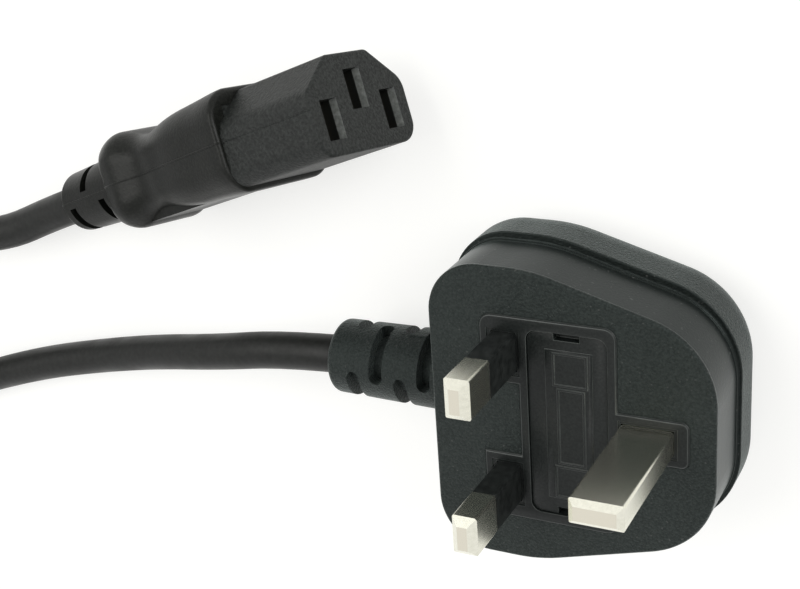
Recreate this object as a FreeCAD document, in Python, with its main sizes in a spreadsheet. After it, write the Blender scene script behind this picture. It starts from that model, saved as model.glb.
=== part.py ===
import FreeCAD, Part

import math
import os
import re

import Sketcher

# A moulded three pin mains plug with a fused drawer, on a lead that ends in an appliance connector.
# The plug lies on its back with its pins up. Lengths are in millimetres.
# Most pieces are drawn from the pin line, which runs midway between the live and neutral pins:
# X goes towards the earth pin, Y towards the live pin, and Z out of the pin face.

# Outline of the pin face.
face_half_width = 24.6
cord_edge = 12.3
earth_edge = 32.5
side_turn = 4.3
earth_half_width = 16.25
cord_corner_radius = 8.5
earth_corner_radius = 13.5
side_turn_radius = 25.0
face_edge_radius = 0.5

# Body behind the face.
carrier_proud = 0.3
ledge_depth = 11.6
ledge_width = 1.3
ledge_end_width = 0.7
ledge_cove = 0.4
ledge_edge_radius = 0.2
cover_corner_radius = 10.0
cover_earth_radius = 14.5
body_depth = 25.0
back_edge_radius = 8.2

# Strain relief of the plug.
relief_reach = 35.2
relief_root = 11.0
relief_depth = 12.8
relief_root_radius = 6.7
relief_end_radius = 6.25
relief_rounding = 1.2
relief_first_slot = 5.0
relief_slot_pitch = 4.4
relief_slot_width = 2.4
relief_slot_angle = 84.0
relief_slot_turn = 140.0
relief_core_radius = 4.4

# Cord.
cord_diameter = 6.6
core_diameter = 2.7
core_ring = 1.65
tail_end = 9.5
moulding_gap = 0.05

# Pin carrier.
carrier_half_width = 17.15
carrier_cord_edge = 3.8
carrier_earth_edge = 17.8
carrier_depth = 15.5
carrier_corner_radius = 2.0
tongue_half_width = 3.8
tongue_end = 28.6
tongue_corner_radius = 1.2
notch_half_width = 6.0
notch_bottom = 2.3
collar_recess = 0.3
collar_margin = 0.55

# Pins.
pin_spacing = 22.22
pin_thickness = 4.0
pin_width = 6.35
pin_length = 17.7
pin_tip_chamfer = 1.2
pin_edge_radius = 0.4
sleeve_length = 9.5
sleeve_root = 1.5
sleeve_wall = 0.4
earth_distance = 22.23
earth_breadth = 8.0
earth_thickness = 4.0
earth_length = 22.7
earth_tip_chamfer = 0.9
pin_tail = 0.5
pin_fit = 0.02

# Fuse drawer.
drawer_start = 3.87
drawer_end = 16.2
drawer_half_length = 15.22
drawer_depth = 9.0
drawer_plate = 2.2
drawer_wall = 1.0
drawer_corner_radius = 1.5
drawer_gap = 0.12
well_depth = 12.6
slot_length = 4.0
slot_width = 1.1
slot_depth = 1.4
plateau_start = 6.6
plateau_end = 14.0
plateau_half_length = 12.5
plateau_step = 0.15
frame_bead = 0.35
frame_height = 0.15
outer_frame_start = 7.8
outer_frame_end = 13.3
outer_frame_inner_end = 6.7
outer_frame_outer_end = 12.2
middle_frame_start = 8.4
middle_frame_end = 12.8
middle_frame_half_length = 6.35
jaw_half_length = 5.0
jaw_side = 1.15
jaw_grip = 1.0

# Fuse.
fuse_length = 25.4
fuse_cap_diameter = 6.35
fuse_cap_length = 5.8
fuse_cap_wall = 0.25
fuse_depth = 6.4
fuse_fit = 0.03

# Clips and terminals.
clip_width = 4.5
clip_inset = 0.5
clip_clearance = 0.1
sheet_thickness = 0.4
barrel_wall = 0.5
barrel_length = 3.1
barrel_overlap = 0.3
barrel_clearance = 0.05
feed_barrel_place = 7.0
wiring_depth = 20.2
wiring_half_width = 14.6
wiring_end = 27.0
wiring_lead_half_width = 5.6
wiring_lead_top = 8.8

# Connector nose.
nose_length = 19.4
nose_half_width = 11.5
nose_base = 7.6
nose_top = 7.75
nose_top_half_width = 4.8
nose_shoulder = 2.3
nose_top_radius = 1.5
nose_shoulder_radius = 3.5
nose_base_radius = 3.2
nose_edge_radius = 0.5
root_length = 3.1
root_half_width = 9.4
root_half_height = 5.6
contact_spacing = 7.0
contact_offset = 2.0
contact_slot_width = 3.78
contact_slot_length = 6.24
contact_slot_depth = 17.0

# Connector contacts.
contact_fit = 0.14
contact_start = 3.5
contact_length = 12.0
contact_tail_end = 24.0
contact_tail_half_width = 1.2
contact_barrel_length = 3.0

# Connector grip.
front_half_width = 12.4
front_half_height = 8.4
palm_place = 25.0
palm_half_width = 11.9
palm_half_height = 8.2
middle_place = 31.0
middle_half_width = 11.2
middle_half_height = 7.9
slope_place = 36.8
slope_half_width = 10.1
slope_half_height = 7.2
waist_place = 42.0
waist_half_width = 8.8
waist_half_height = 6.4
rise_place = 45.2
rise_half_width = 9.2
rise_half_height = 7.1
ring_place = 48.0
ring_half_width = 10.1
ring_half_height = 8.3
crown_place = 50.4
crown_half_width = 10.0
crown_half_height = 8.2
rear_place = 52.6
rear_half_width = 9.3
rear_half_height = 7.5
rear_rounding = 1.8
grip_front_rounding = 0.8
grip_corner_share = 0.62
tail_start = 38.0
grip_space_half_width = 9.1
grip_space_half_height = 4.3
grip_space_shoulder = 29.5
grip_space_end_half_width = 3.7
finger_pad_start = 28.0
finger_pad_end = 49.0
finger_pad_half_width = 6.0
finger_pad_drop = 7.8

# Strain relief of the connector.
neck_end = 70.2
neck_root = 48.0
neck_root_radius = 6.2
neck_end_radius = 5.4
neck_first_slot = 3.2
neck_slot_pitch = 4.3
neck_slot_width = 1.7
neck_slot_angle = 156.0

# Where the connector lies.
connector_face_x = -24.1
connector_face_y = 46.4
connector_height = 17.6
connector_yaw = 21.5
connector_pitch = -8.0
connector_roll = -11.0

# Cord coil.
coil_centre_x = -189.3
coil_centre_y = -6.1
coil_outer_turn = 41.0
coil_inner_turn = 27.6
coil_layer_rise = 6.6
coil_rounding = 2.9
cord_lift = 0.1
lead_length = 25.5
lead_in_heading = 206.0
lead_out_heading = 153.0
lead_out_drop = 2.7

# All the sizes above go into the sheet by their names.
NAMED_SIZES = {name: size for name, size in list(vars().items()) if isinstance(size, float)}

doc = FreeCAD.newDocument("MainsPlugLead")
sheet = doc.addObject("Spreadsheet::Sheet", "Sizes")
for row, (name, size) in enumerate(NAMED_SIZES.items(), 1):
    sheet.set("A%d" % row, name)
    sheet.set("B%d" % row, str(size))
    sheet.setAlias("B%d" % row, name)
doc.recompute()

# The origin is below the middle of the plug, on the surface that its back lies on.
PIN_LINE_X = "(relief_reach - earth_edge - ledge_end_width) / 2"
FACE_Z = "body_depth"
CORD_HEIGHT = "cord_diameter / 2 + cord_lift"
FUSE_X = "(drawer_start + drawer_end) / 2"
CLIP_Y = "(fuse_length / 2 - clip_inset - clip_width / 2)"
PIN_END_Z = "(carrier_depth + pin_tail)"
BARREL_RADIUS = "(core_diameter / 2 + barrel_clearance + barrel_wall)"
BARREL_Z = "(" + PIN_END_Z + " + " + BARREL_RADIUS + ")"
WELL_START = "drawer_start - drawer_gap"
WELL_END = "drawer_end + drawer_gap"
WELL_HALF_LENGTH = "drawer_half_length + drawer_gap"
SIDE_ANGLE = "atan((face_half_width - earth_half_width) / (earth_edge - side_turn))"


# Every named size has an underscore in its name, which sets it apart from the functions.
def in_sheet(text):
    return re.sub(r"\b([a-z]+(?:_[a-z]+)+)\b", r"Sizes.\1", str(text))


def value(text):
    return float(sheet.evalExpression(in_sheet(text)))


def bind(thing, **sizes):
    for name, text in sizes.items():
        thing.setExpression(name.replace("__", "."), in_sheet(text))


def new_part(kind, label, **sizes):
    thing = doc.addObject(kind, label)
    thing.Label = label
    bind(thing, **sizes)
    return thing


def put(thing, x, y, z):
    bind(thing, Placement__Base__x=x, Placement__Base__y=y, Placement__Base__z=z)


def put_in_plug(thing, x="0", y="0", z="0"):
    put(thing, PIN_LINE_X + " + " + x, y, FACE_Z + " + " + z)


# The connector leans: it is turned, then its nose is lifted, then it is rolled about its own length.
CONNECTOR_TURN = FreeCAD.Rotation(value("connector_yaw"), value("connector_pitch"), value("connector_roll"))


def put_in_connector(thing):
    thing.Placement = FreeCAD.Placement(FreeCAD.Vector(), CONNECTOR_TURN)
    put(thing, "connector_face_x", "connector_face_y", "connector_height")


def new_body(label, place=put_in_plug):
    body = new_part("PartDesign::Body", label)
    place(body)
    return body


def new_sketch(body, plane, offset=None, rise=None):
    sketch = body.newObject("Sketcher::SketchObject", body.Label + "_sketch")
    origin_plane = [part for part in body.Origin.OriginFeatures if part.Role == plane][0]
    sketch.AttachmentSupport = [(origin_plane, "")]
    sketch.MapMode = "FlatFace"
    if offset:
        bind(sketch, AttachmentOffset__Base__z=offset)
    if rise:
        bind(sketch, AttachmentOffset__Base__y=rise)
    return sketch


def add_polygon(sketch, corners):
    spots = [FreeCAD.Vector(value(x), value(y), 0) for x, y in corners]
    first = sketch.GeometryCount
    count = len(corners)
    for index in range(count):
        sketch.addGeometry(Part.LineSegment(spots[index], spots[(index + 1) % count]), False)
    for index, (x, y) in enumerate(corners):
        line = first + index
        following = first + (index + 1) % count
        sketch.addConstraint(Sketcher.Constraint("Coincident", line, 2, following, 1))
        for kind, text in (("DistanceX", x), ("DistanceY", y)):
            number = sketch.addConstraint(Sketcher.Constraint(kind, line, 1, value(text)))
            sketch.setExpression("Constraints[%d]" % number, in_sheet(text))


def add_rectangle(sketch, left, right, low, high):
    add_polygon(sketch, [(left, low), (right, low), (right, high), (left, high)])


def add_circle(sketch, x, y, radius):
    centre = FreeCAD.Vector(value(x), value(y), 0)
    circle = sketch.addGeometry(Part.Circle(centre, FreeCAD.Vector(0, 0, 1), value(radius)), False)
    for kind, text in (("DistanceX", x), ("DistanceY", y)):
        number = sketch.addConstraint(Sketcher.Constraint(kind, circle, 3, value(text)))
        sketch.setExpression("Constraints[%d]" % number, in_sheet(text))
    number = sketch.addConstraint(Sketcher.Constraint("Radius", circle, value(radius)))
    sketch.setExpression("Constraints[%d]" % number, in_sheet(radius))


# A closed outline of four sides and four round corners, in the middle of the sketch.
def add_rounded_rectangle(sketch, half_x, half_y, radius):
    a, b, r = value(half_x), value(half_y), value(radius)
    corners = [(a - r, b - r, 0), (r - a, b - r, 90), (r - a, r - b, 180), (a - r, r - b, 270)]
    arcs = []
    lines = []
    for x, y, start in corners:
        circle = Part.Circle(FreeCAD.Vector(x, y, 0), FreeCAD.Vector(0, 0, 1), r)
        arc = Part.ArcOfCircle(circle, math.radians(start), math.radians(start + 90))
        arcs.append(sketch.addGeometry(arc, False))
    for index in range(4):
        start = sketch.getPoint(arcs[index], 2)
        end = sketch.getPoint(arcs[(index + 1) % 4], 1)
        lines.append(sketch.addGeometry(Part.LineSegment(start, end), False))
    for index in range(4):
        sketch.addConstraint(Sketcher.Constraint("Tangent", arcs[index], 2, lines[index], 1))
        sketch.addConstraint(Sketcher.Constraint("Tangent", lines[index], 2, arcs[(index + 1) % 4], 1))
    sizes = [("Radius", (arcs[0],), radius), ("Radius", (arcs[2],), radius)]
    sizes += [("DistanceX", (lines[3], 1), half_x), ("DistanceY", (lines[0], 1), half_y)]
    sizes += [("DistanceX", (lines[1], 1), "-" + half_x), ("DistanceY", (lines[2], 1), "-" + half_y)]
    sketch.addConstraint(Sketcher.Constraint("Vertical", lines[1]))
    sketch.addConstraint(Sketcher.Constraint("Vertical", lines[3]))
    sketch.addConstraint(Sketcher.Constraint("Horizontal", lines[0]))
    sketch.addConstraint(Sketcher.Constraint("Horizontal", lines[2]))
    for kind, where, text in sizes:
        number = sketch.addConstraint(Sketcher.Constraint(kind, *where, value(text)))
        sketch.setExpression("Constraints[%d]" % number, in_sheet(text))


# Adds a pad or a pocket. A cut that takes nothing away shows no error, so its volume is compared.
def extrude(body, kind, sketch, length, reverse=False, both_ways=False):
    before = body.Shape.Volume if body.Tip and not body.Shape.isNull() else 0.0
    feature = body.newObject("PartDesign::" + kind, body.Label + "_" + kind.lower())
    feature.Profile = sketch
    feature.Reversed = reverse
    if both_ways:
        feature.SideType = "Symmetric"
    bind(feature, Length=length)
    sketch.Visibility = False
    doc.recompute()
    if kind == "Pocket" and not feature.Shape.Volume < before:
        raise ValueError(body.Label + ": a pocket cuts nothing")
    return feature


def pad(body, sketch, length, **ways):
    return extrude(body, "Pad", sketch, length, **ways)


def pocket(body, sketch, length, **ways):
    return extrude(body, "Pocket", sketch, length, **ways)


def chosen_edges(feature, test):
    return ["Edge%d" % (index + 1) for index, edge in enumerate(feature.Shape.Edges) if test(edge)]


def soften(body, feature, test, kind, size):
    names = chosen_edges(feature, test)
    if not names:
        raise ValueError(body.Label + ": no edge to work on")
    softened = body.newObject("PartDesign::" + kind, body.Label + "_" + kind.lower())
    softened.Base = (feature, names)
    bind(softened, **{"Radius" if kind == "Fillet" else "Size": size})
    doc.recompute()
    if "Invalid" in softened.State or softened.Shape.isNull():
        raise ValueError(body.Label + ": the edges can't be worked")
    return softened


def near(a, b, room=0.02):
    return abs(a - b) < room


# Tests for picking edges: along Z at given corners, or lying flat at one height or place.
def upright_at(spots, along=2):
    flat = [axis for axis in range(3) if axis != along]
    places = [tuple(value(text) for text in spot) for spot in spots]

    def test(edge):
        ends = [vertex.Point for vertex in edge.Vertexes]
        if len(ends) < 2 or near(ends[0][along], ends[1][along]):
            return False
        if not all(near(ends[0][axis], ends[1][axis]) for axis in flat):
            return False
        return any(all(near(ends[0][axis], spot[k]) for k, axis in enumerate(flat)) for spot in places)
    return test


def lying_at(axis, place, inside=None):
    spot = value(place)

    def test(edge):
        box = edge.BoundBox
        low = (box.XMin, box.YMin, box.ZMin)[axis]
        high = (box.XMax, box.YMax, box.ZMax)[axis]
        if not (near(low, spot) and near(high, spot)):
            return False
        return inside is None or inside(edge.CenterOfMass)
    return test


def mirrored(corners):
    return [(x, y) for x, y in corners] + [(x, "-" + y) for x, y in reversed(corners)]


# Plug body: soft plastic moulded over the pin carrier and round the end of the cord.
# The front wall stands inside the rear cover, which leaves a ledge to pull on.
def outline_corners(side, end):
    turn_x = "side_turn + " + side + " * tan(" + SIDE_ANGLE + " / 2)"
    end_y = ("(earth_half_width + " + side + " / cos(" + SIDE_ANGLE + ") - " + end + " * tan("
             + SIDE_ANGLE + "))")
    side_y = "(face_half_width + " + side + ")"
    return mirrored([("-cord_edge - " + end, side_y), (turn_x, side_y), ("earth_edge + " + end, end_y)])


def rounded_outline(body, depth, side, end, radii):
    corners = outline_corners(side, end)
    sketch = new_sketch(body, "XY_Plane", offset="-" + depth)
    add_polygon(sketch, corners)
    block = pad(body, sketch, "body_depth - " + depth, reverse=True)
    top = -value(depth)

    def only_here(test):
        return lambda edge: test(edge) and near(edge.BoundBox.ZMax, top)
    for corner, radius in zip((corners[0], corners[2], corners[1]), radii):
        block = soften(body, block, only_here(upright_at(mirrored([corner]))), "Fillet", radius)
    return block


plug_shell = new_body("plug_shell")
rounded_outline(plug_shell, "carrier_proud", "0", "0",
                ("cord_corner_radius", "earth_corner_radius", "side_turn_radius"))
cover = rounded_outline(plug_shell, "ledge_depth", "ledge_width", "ledge_end_width",
                        ("cover_corner_radius", "cover_earth_radius", "side_turn_radius"))
back = soften(plug_shell, cover, lying_at(2, "-body_depth"), "Fillet", "back_edge_radius")


foot_edges = lying_at(2, "-ledge_depth", lambda centre: near(centre.x, -value("cord_edge"), 0.1))
cove = soften(plug_shell, back, foot_edges, "Fillet", "ledge_cove")
rim_edges = lying_at(2, "-ledge_depth", lambda centre: near(centre.x, -value("cord_edge + ledge_end_width")))
rim = soften(plug_shell, cove, rim_edges, "Fillet", "ledge_edge_radius")
edge = soften(plug_shell, rim, lying_at(2, "-carrier_proud"), "Fillet", "face_edge_radius")

# The strain relief tapers towards the cord and is part of the same moulding.
relief_sketch = new_sketch(plug_shell, "XZ_Plane", rise="-relief_depth")
add_polygon(relief_sketch, [("-relief_root", "0"), ("-relief_root", "relief_root_radius"),
                            ("-relief_reach", "relief_end_radius"), ("-relief_reach", "0")])
relief = plug_shell.newObject("PartDesign::Revolution", "plug_relief")
relief.Profile = relief_sketch
relief.ReferenceAxis = (relief_sketch, ["H_Axis"])
doc.recompute()
relief_end = lying_at(0, "-relief_reach")
soften(plug_shell, relief, relief_end, "Fillet", "relief_rounding")


# Where the pin carrier sits in the moulding, behind the face.
def carrier_corners(grow):
    g = " + " + grow
    upper = [
        ("tongue_end" + g, "(tongue_half_width" + g + ")"),
        ("carrier_earth_edge" + g, "(tongue_half_width" + g + ")"),
        ("carrier_earth_edge" + g, "(carrier_half_width" + g + ")"),
        ("-carrier_cord_edge - " + grow, "(carrier_half_width" + g + ")"),
        ("-carrier_cord_edge - " + grow, "(notch_half_width - " + grow + ")"),
        ("notch_bottom - " + grow, "(notch_half_width - " + grow + ")"),
    ]
    return mirrored(upper)


def round_carrier_corners(body, feature, grow, reach):
    corners = carrier_corners(grow)
    wide = soften(body, feature, reach(upright_at(mirrored(corners[2:4]))), "Fillet",
                  "carrier_corner_radius + " + grow)
    return soften(body, wide, reach(upright_at(mirrored(corners[0:1]))), "Fillet",
                  "tongue_corner_radius + " + grow)


seat_sketch = new_sketch(plug_shell, "XY_Plane", offset="-carrier_proud")
add_polygon(seat_sketch, carrier_corners("moulding_gap"))
seat = pocket(plug_shell, seat_sketch, "carrier_depth - carrier_proud")
round_carrier_corners(plug_shell, seat, "moulding_gap", lambda test: test)

# The space behind the carrier holds the terminals and the three cores.
space_sketch = new_sketch(plug_shell, "XZ_Plane")
add_rectangle(space_sketch, "-carrier_cord_edge", "wiring_end", "-wiring_depth",
              "-carrier_depth + moulding_gap")
pocket(plug_shell, space_sketch, "2 * wiring_half_width", both_ways=True)
lead_sketch = new_sketch(plug_shell, "XZ_Plane")
add_rectangle(lead_sketch, "-tail_end", "notch_bottom - moulding_gap", "-wiring_depth",
              "-wiring_lead_top")
pocket(plug_shell, lead_sketch, "2 * wiring_lead_half_width", both_ways=True)
bore_sketch = new_sketch(plug_shell, "YZ_Plane", offset="-tail_end")
add_circle(bore_sketch, "0", "-relief_depth", "cord_diameter / 2 + moulding_gap")
pocket(plug_shell, bore_sketch, "relief_reach - tail_end")


# Slots across a strain relief leave it bendy. Each row of slots is turned from the row before.
# A slot is a part of a ring, and may have round ends. It is placed from the relief's end face.
def relief_slots(name, place_tool, rows, sizes, rounded):
    first, pitch, width, core, outer, angle = sizes
    slots = []
    for index, turns in enumerate(rows):
        along = "(" + first + " + " + str(index) + " * " + pitch + ")"
        for turn in turns:
            number = len(slots) + 1
            ring = new_part("Part::Cylinder", "%s_ring_%d" % (name, number),
                            Radius=outer, Height=width, Angle=angle)
            place_tool(ring, along + " - " + width + " / 2", sector_turn(value(turn), value(angle) / 2))
            pieces = [ring]
            for end in (-1, 1) if rounded else ():
                tool = new_part("Part::Cylinder", "%s_end_%d_%d" % (name, number, end + 2),
                                Radius=width + " / 2", Height=outer)
                place_tool(tool, along, radial_turn(value(turn) + value(angle) / 2 * end))
                pieces.append(tool)
            sweep = pieces[0]
            if rounded:
                sweep = doc.addObject("Part::MultiFuse", "%s_sweep_%d" % (name, number))
                sweep.Shapes = pieces
            heart = new_part("Part::Cylinder", "%s_heart_%d" % (name, number),
                             Radius=core, Height="2 * " + width)
            place_tool(heart, along + " - " + width, sector_turn(0, 0))
            slot = doc.addObject("Part::Cut", "%s_slot_%d" % (name, number))
            slot.Base = sweep
            slot.Tool = heart
            slots.append(slot)
    group = doc.addObject("Part::MultiFuse", name + "_slots")
    group.Shapes = slots
    return group


# Turns are counted from the side of the live pin towards the pins. A cylinder lies along X after
# the first kind of turn, and stands out from the axis after the second.
def sector_turn(middle, half_angle):
    along_x = FreeCAD.Rotation(FreeCAD.Vector(0, 1, 0), 90)
    return along_x * FreeCAD.Rotation(FreeCAD.Vector(0, 0, 1), middle + 90 - half_angle)


def radial_turn(angle):
    return FreeCAD.Rotation(FreeCAD.Vector(1, 0, 0), angle - 90)


def place_plug_slot(tool, along, turn):
    tool.Placement = FreeCAD.Placement(FreeCAD.Vector(), turn)
    put_in_plug(tool, "(" + along + " - relief_reach)", "0", "(-relief_depth)")


first_row = ("relief_slot_turn", "relief_slot_turn + 180")
second_row = ("relief_slot_turn - 90", "relief_slot_turn + 90")
plug_body = doc.addObject("Part::Cut", "plug_body")
plug_body.Base = plug_shell
plug_body.Tool = relief_slots("plug", place_plug_slot, (first_row, second_row, first_row, second_row),
                              ("relief_first_slot", "relief_slot_pitch", "relief_slot_width",
                               "relief_core_radius", "relief_root_radius + relief_core_radius",
                               "relief_slot_angle"), rounded=True)

# Pin carrier: the rigid insert that holds the pins in line and has the well for the fuse drawer.
pin_carrier = new_body("pin_carrier")
carrier_sketch = new_sketch(pin_carrier, "XY_Plane")
add_polygon(carrier_sketch, carrier_corners("0"))
block = pad(pin_carrier, carrier_sketch, "carrier_depth", reverse=True)
block = round_carrier_corners(pin_carrier, block, "0", lambda test: test)
soften(pin_carrier, block, lying_at(2, "0"), "Chamfer", "carrier_proud * 0.8")
well_sketch = new_sketch(pin_carrier, "XY_Plane")
add_rectangle(well_sketch, WELL_START, WELL_END, "-(" + WELL_HALF_LENGTH + ")", WELL_HALF_LENGTH)
well = pocket(pin_carrier, well_sketch, "well_depth")
well_corners = mirrored([(WELL_START, "(" + WELL_HALF_LENGTH + ")"), (WELL_END, "(" + WELL_HALF_LENGTH + ")")])
soften(pin_carrier, well, upright_at(well_corners), "Fillet", "drawer_corner_radius + drawer_gap")

# Line and neutral holes, the earth hole and the slots for the clip stems go right through.
hole_sketch = new_sketch(pin_carrier, "XY_Plane")
HOLE_X = "(pin_thickness / 2 + pin_fit)"
HOLE_NEAR_Y = "(pin_spacing / 2 - pin_width / 2 - pin_fit)"
HOLE_FAR_Y = "(pin_spacing / 2 + pin_width / 2 + pin_fit)"
EARTH_X = "(earth_breadth / 2 + pin_fit)"
EARTH_Y = "(earth_thickness / 2 + pin_fit)"
STEM_X = "(sheet_thickness / 2 + pin_fit)"
STEM_Y = "(clip_width / 2 + pin_fit)"
add_rectangle(hole_sketch, "-" + HOLE_X, HOLE_X, HOLE_NEAR_Y, HOLE_FAR_Y)
add_rectangle(hole_sketch, "-" + HOLE_X, HOLE_X, "-" + HOLE_FAR_Y, "-" + HOLE_NEAR_Y)
add_rectangle(hole_sketch, "earth_distance - " + EARTH_X, "earth_distance + " + EARTH_X,
              "-" + EARTH_Y, EARTH_Y)
for sign in ("", "-"):
    add_rectangle(hole_sketch, FUSE_X + " - " + STEM_X, FUSE_X + " + " + STEM_X,
                  sign + CLIP_Y + " - " + STEM_Y, sign + CLIP_Y + " + " + STEM_Y)
pocket(pin_carrier, hole_sketch, "carrier_depth")

# Shallow sunk panels round the feet of the pins.
collar_sketch = new_sketch(pin_carrier, "XY_Plane")
for sign in ("", "-"):
    low, high = (HOLE_NEAR_Y, HOLE_FAR_Y) if not sign else (HOLE_FAR_Y, HOLE_NEAR_Y)
    add_rectangle(collar_sketch, "-" + HOLE_X + " - collar_margin", HOLE_X + " + collar_margin",
                  sign + low + " - collar_margin", sign + high + " + collar_margin")
add_rectangle(collar_sketch, "earth_distance - " + EARTH_X + " - collar_margin / 2",
              "earth_distance + " + EARTH_X + " + collar_margin", "-" + EARTH_Y + " - collar_margin",
              EARTH_Y + " + collar_margin")
pocket(pin_carrier, collar_sketch, "collar_recess")


# Pins: solid plated brass bars. The live and neutral pins are necked for a moulded-on sleeve.
def rectangle_pad(body, height, half_x, half_y, length, reverse=False):
    sketch = new_sketch(body, "XY_Plane", offset=height)
    add_rectangle(sketch, "-" + half_x, half_x, "-" + half_y, half_y)
    return pad(body, sketch, length, reverse=reverse)


def four_corners(half_x, half_y):
    return mirrored([("-" + half_x, half_y), (half_x, half_y)])


PIN_X = "(pin_thickness / 2)"
PIN_Y = "(pin_width / 2)"
NECK_X = "(pin_thickness / 2 - sleeve_wall)"
NECK_Y = "(pin_width / 2 - sleeve_wall)"
for label, side in (("live_pin", ""), ("neutral_pin", "-")):
    def place_pin(thing, side=side):
        put_in_plug(thing, "0", side + "pin_spacing / 2")
    pin = new_body(label, place_pin)
    rectangle_pad(pin, "-sleeve_root", NECK_X, NECK_Y, "sleeve_root + sleeve_length")
    rectangle_pad(pin, "-sleeve_root", PIN_X, PIN_Y, PIN_END_Z + " - sleeve_root", reverse=True)
    blade = rectangle_pad(pin, "sleeve_length", PIN_X, PIN_Y, "pin_length - sleeve_length")
    tip = soften(pin, blade, lying_at(2, "pin_length"), "Chamfer", "pin_tip_chamfer")
    in_blade = upright_at(four_corners(PIN_X, PIN_Y))
    soften(pin, tip, lambda edge: in_blade(edge) and edge.CenterOfMass.z > 0, "Fillet", "pin_edge_radius")

    sleeve = new_body(label + "_sleeve", place_pin)
    skin = rectangle_pad(sleeve, "-sleeve_root", PIN_X, PIN_Y, "sleeve_root + sleeve_length")
    soften(sleeve, skin, upright_at(four_corners(PIN_X, PIN_Y)), "Fillet", "pin_edge_radius")
    neck_sketch = new_sketch(sleeve, "XY_Plane", offset="sleeve_length")
    add_rectangle(neck_sketch, "-" + NECK_X + " - pin_fit", NECK_X + " + pin_fit",
                  "-" + NECK_Y + " - pin_fit", NECK_Y + " + pin_fit")
    pocket(sleeve, neck_sketch, "sleeve_root + sleeve_length")

earth_pin = new_body("earth_pin", lambda thing: put_in_plug(thing, "earth_distance"))
EARTH_HALF_X = "(earth_breadth / 2)"
EARTH_HALF_Y = "(earth_thickness / 2)"
bar = rectangle_pad(earth_pin, "-" + PIN_END_Z, EARTH_HALF_X, EARTH_HALF_Y, PIN_END_Z + " + earth_length")
tip = soften(earth_pin, bar, lying_at(2, "earth_length"), "Chamfer", "earth_tip_chamfer")
soften(earth_pin, tip, upright_at(four_corners(EARTH_HALF_X, EARTH_HALF_Y)), "Fillet", "pin_edge_radius")

# Fuse carrier: a drawer that pulls straight out of the pin face with the fuse in its jaws.
fuse_carrier = new_body("fuse_carrier")
DRAWER_Y = "drawer_half_length"
drawer_sketch = new_sketch(fuse_carrier, "XY_Plane", offset="-plateau_step - frame_height")
add_rectangle(drawer_sketch, "drawer_start", "drawer_end", "-" + DRAWER_Y, DRAWER_Y)
drawer = pad(fuse_carrier, drawer_sketch, "drawer_depth - plateau_step - frame_height", reverse=True)
drawer_corners = mirrored([("drawer_start", DRAWER_Y), ("drawer_end", DRAWER_Y)])
drawer = soften(fuse_carrier, drawer, upright_at(drawer_corners), "Fillet", "drawer_corner_radius")
hollow_sketch = new_sketch(fuse_carrier, "XY_Plane", offset="-drawer_depth")
add_rectangle(hollow_sketch, "drawer_start + drawer_wall", "drawer_end - drawer_wall",
              "-" + DRAWER_Y + " + drawer_wall", DRAWER_Y + " - drawer_wall")
pocket(fuse_carrier, hollow_sketch, "drawer_depth - drawer_plate", reverse=True)
JAW_HALF_WIDTH = "(fuse_cap_diameter / 2 - fuse_cap_wall + jaw_side)"
jaw_sketch = new_sketch(fuse_carrier, "XY_Plane", offset="-drawer_plate")
add_rectangle(jaw_sketch, FUSE_X + " - " + JAW_HALF_WIDTH, FUSE_X + " + " + JAW_HALF_WIDTH,
              "-jaw_half_length", "jaw_half_length")
pad(fuse_carrier, jaw_sketch, "fuse_depth + jaw_grip - drawer_plate", reverse=True)
grip_sketch = new_sketch(fuse_carrier, "XZ_Plane")
add_circle(grip_sketch, FUSE_X, "-fuse_depth", "fuse_cap_diameter / 2 - fuse_cap_wall")
pocket(fuse_carrier, grip_sketch, "2 * jaw_half_length", both_ways=True)

# The face of the drawer has a low plateau with three framed panels, and a slot to prise each end.
plateau_sketch = new_sketch(fuse_carrier, "XY_Plane", offset="-plateau_step - frame_height")
add_rectangle(plateau_sketch, "plateau_start", "plateau_end", "-plateau_half_length", "plateau_half_length")
pad(fuse_carrier, plateau_sketch, "plateau_step")
frame_sketch = new_sketch(fuse_carrier, "XY_Plane", offset="-frame_height")
FRAMES = [
    ("outer_frame_start", "outer_frame_end", "outer_frame_inner_end", "outer_frame_outer_end"),
    ("outer_frame_start", "outer_frame_end", "-outer_frame_outer_end", "-outer_frame_inner_end"),
    ("middle_frame_start", "middle_frame_end", "-middle_frame_half_length", "middle_frame_half_length"),
]
for left, right, low, high in FRAMES:
    add_rectangle(frame_sketch, left, right, low, high)
    add_rectangle(frame_sketch, left + " + frame_bead", right + " - frame_bead", low + " + frame_bead",
                  high + " - frame_bead")
pad(fuse_carrier, frame_sketch, "frame_height")
slot_sketch = new_sketch(fuse_carrier, "XY_Plane", offset="-plateau_step - frame_height")
for sign, low, high in (("", " - slot_width", ""), ("-", "", " + slot_width")):
    add_rectangle(slot_sketch, FUSE_X + " - slot_length / 2", FUSE_X + " + slot_length / 2",
                  sign + DRAWER_Y + low, sign + DRAWER_Y + high)
pocket(fuse_carrier, slot_sketch, "slot_depth")


# Fuse: a ceramic barrel with a plated cap on each end.
def lay_along_y(tool, x, y, z, turn=-90):
    tool.Placement = FreeCAD.Placement(FreeCAD.Vector(), FreeCAD.Rotation(FreeCAD.Vector(1, 0, 0), turn))
    put_in_plug(tool, x, y, z)


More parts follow.
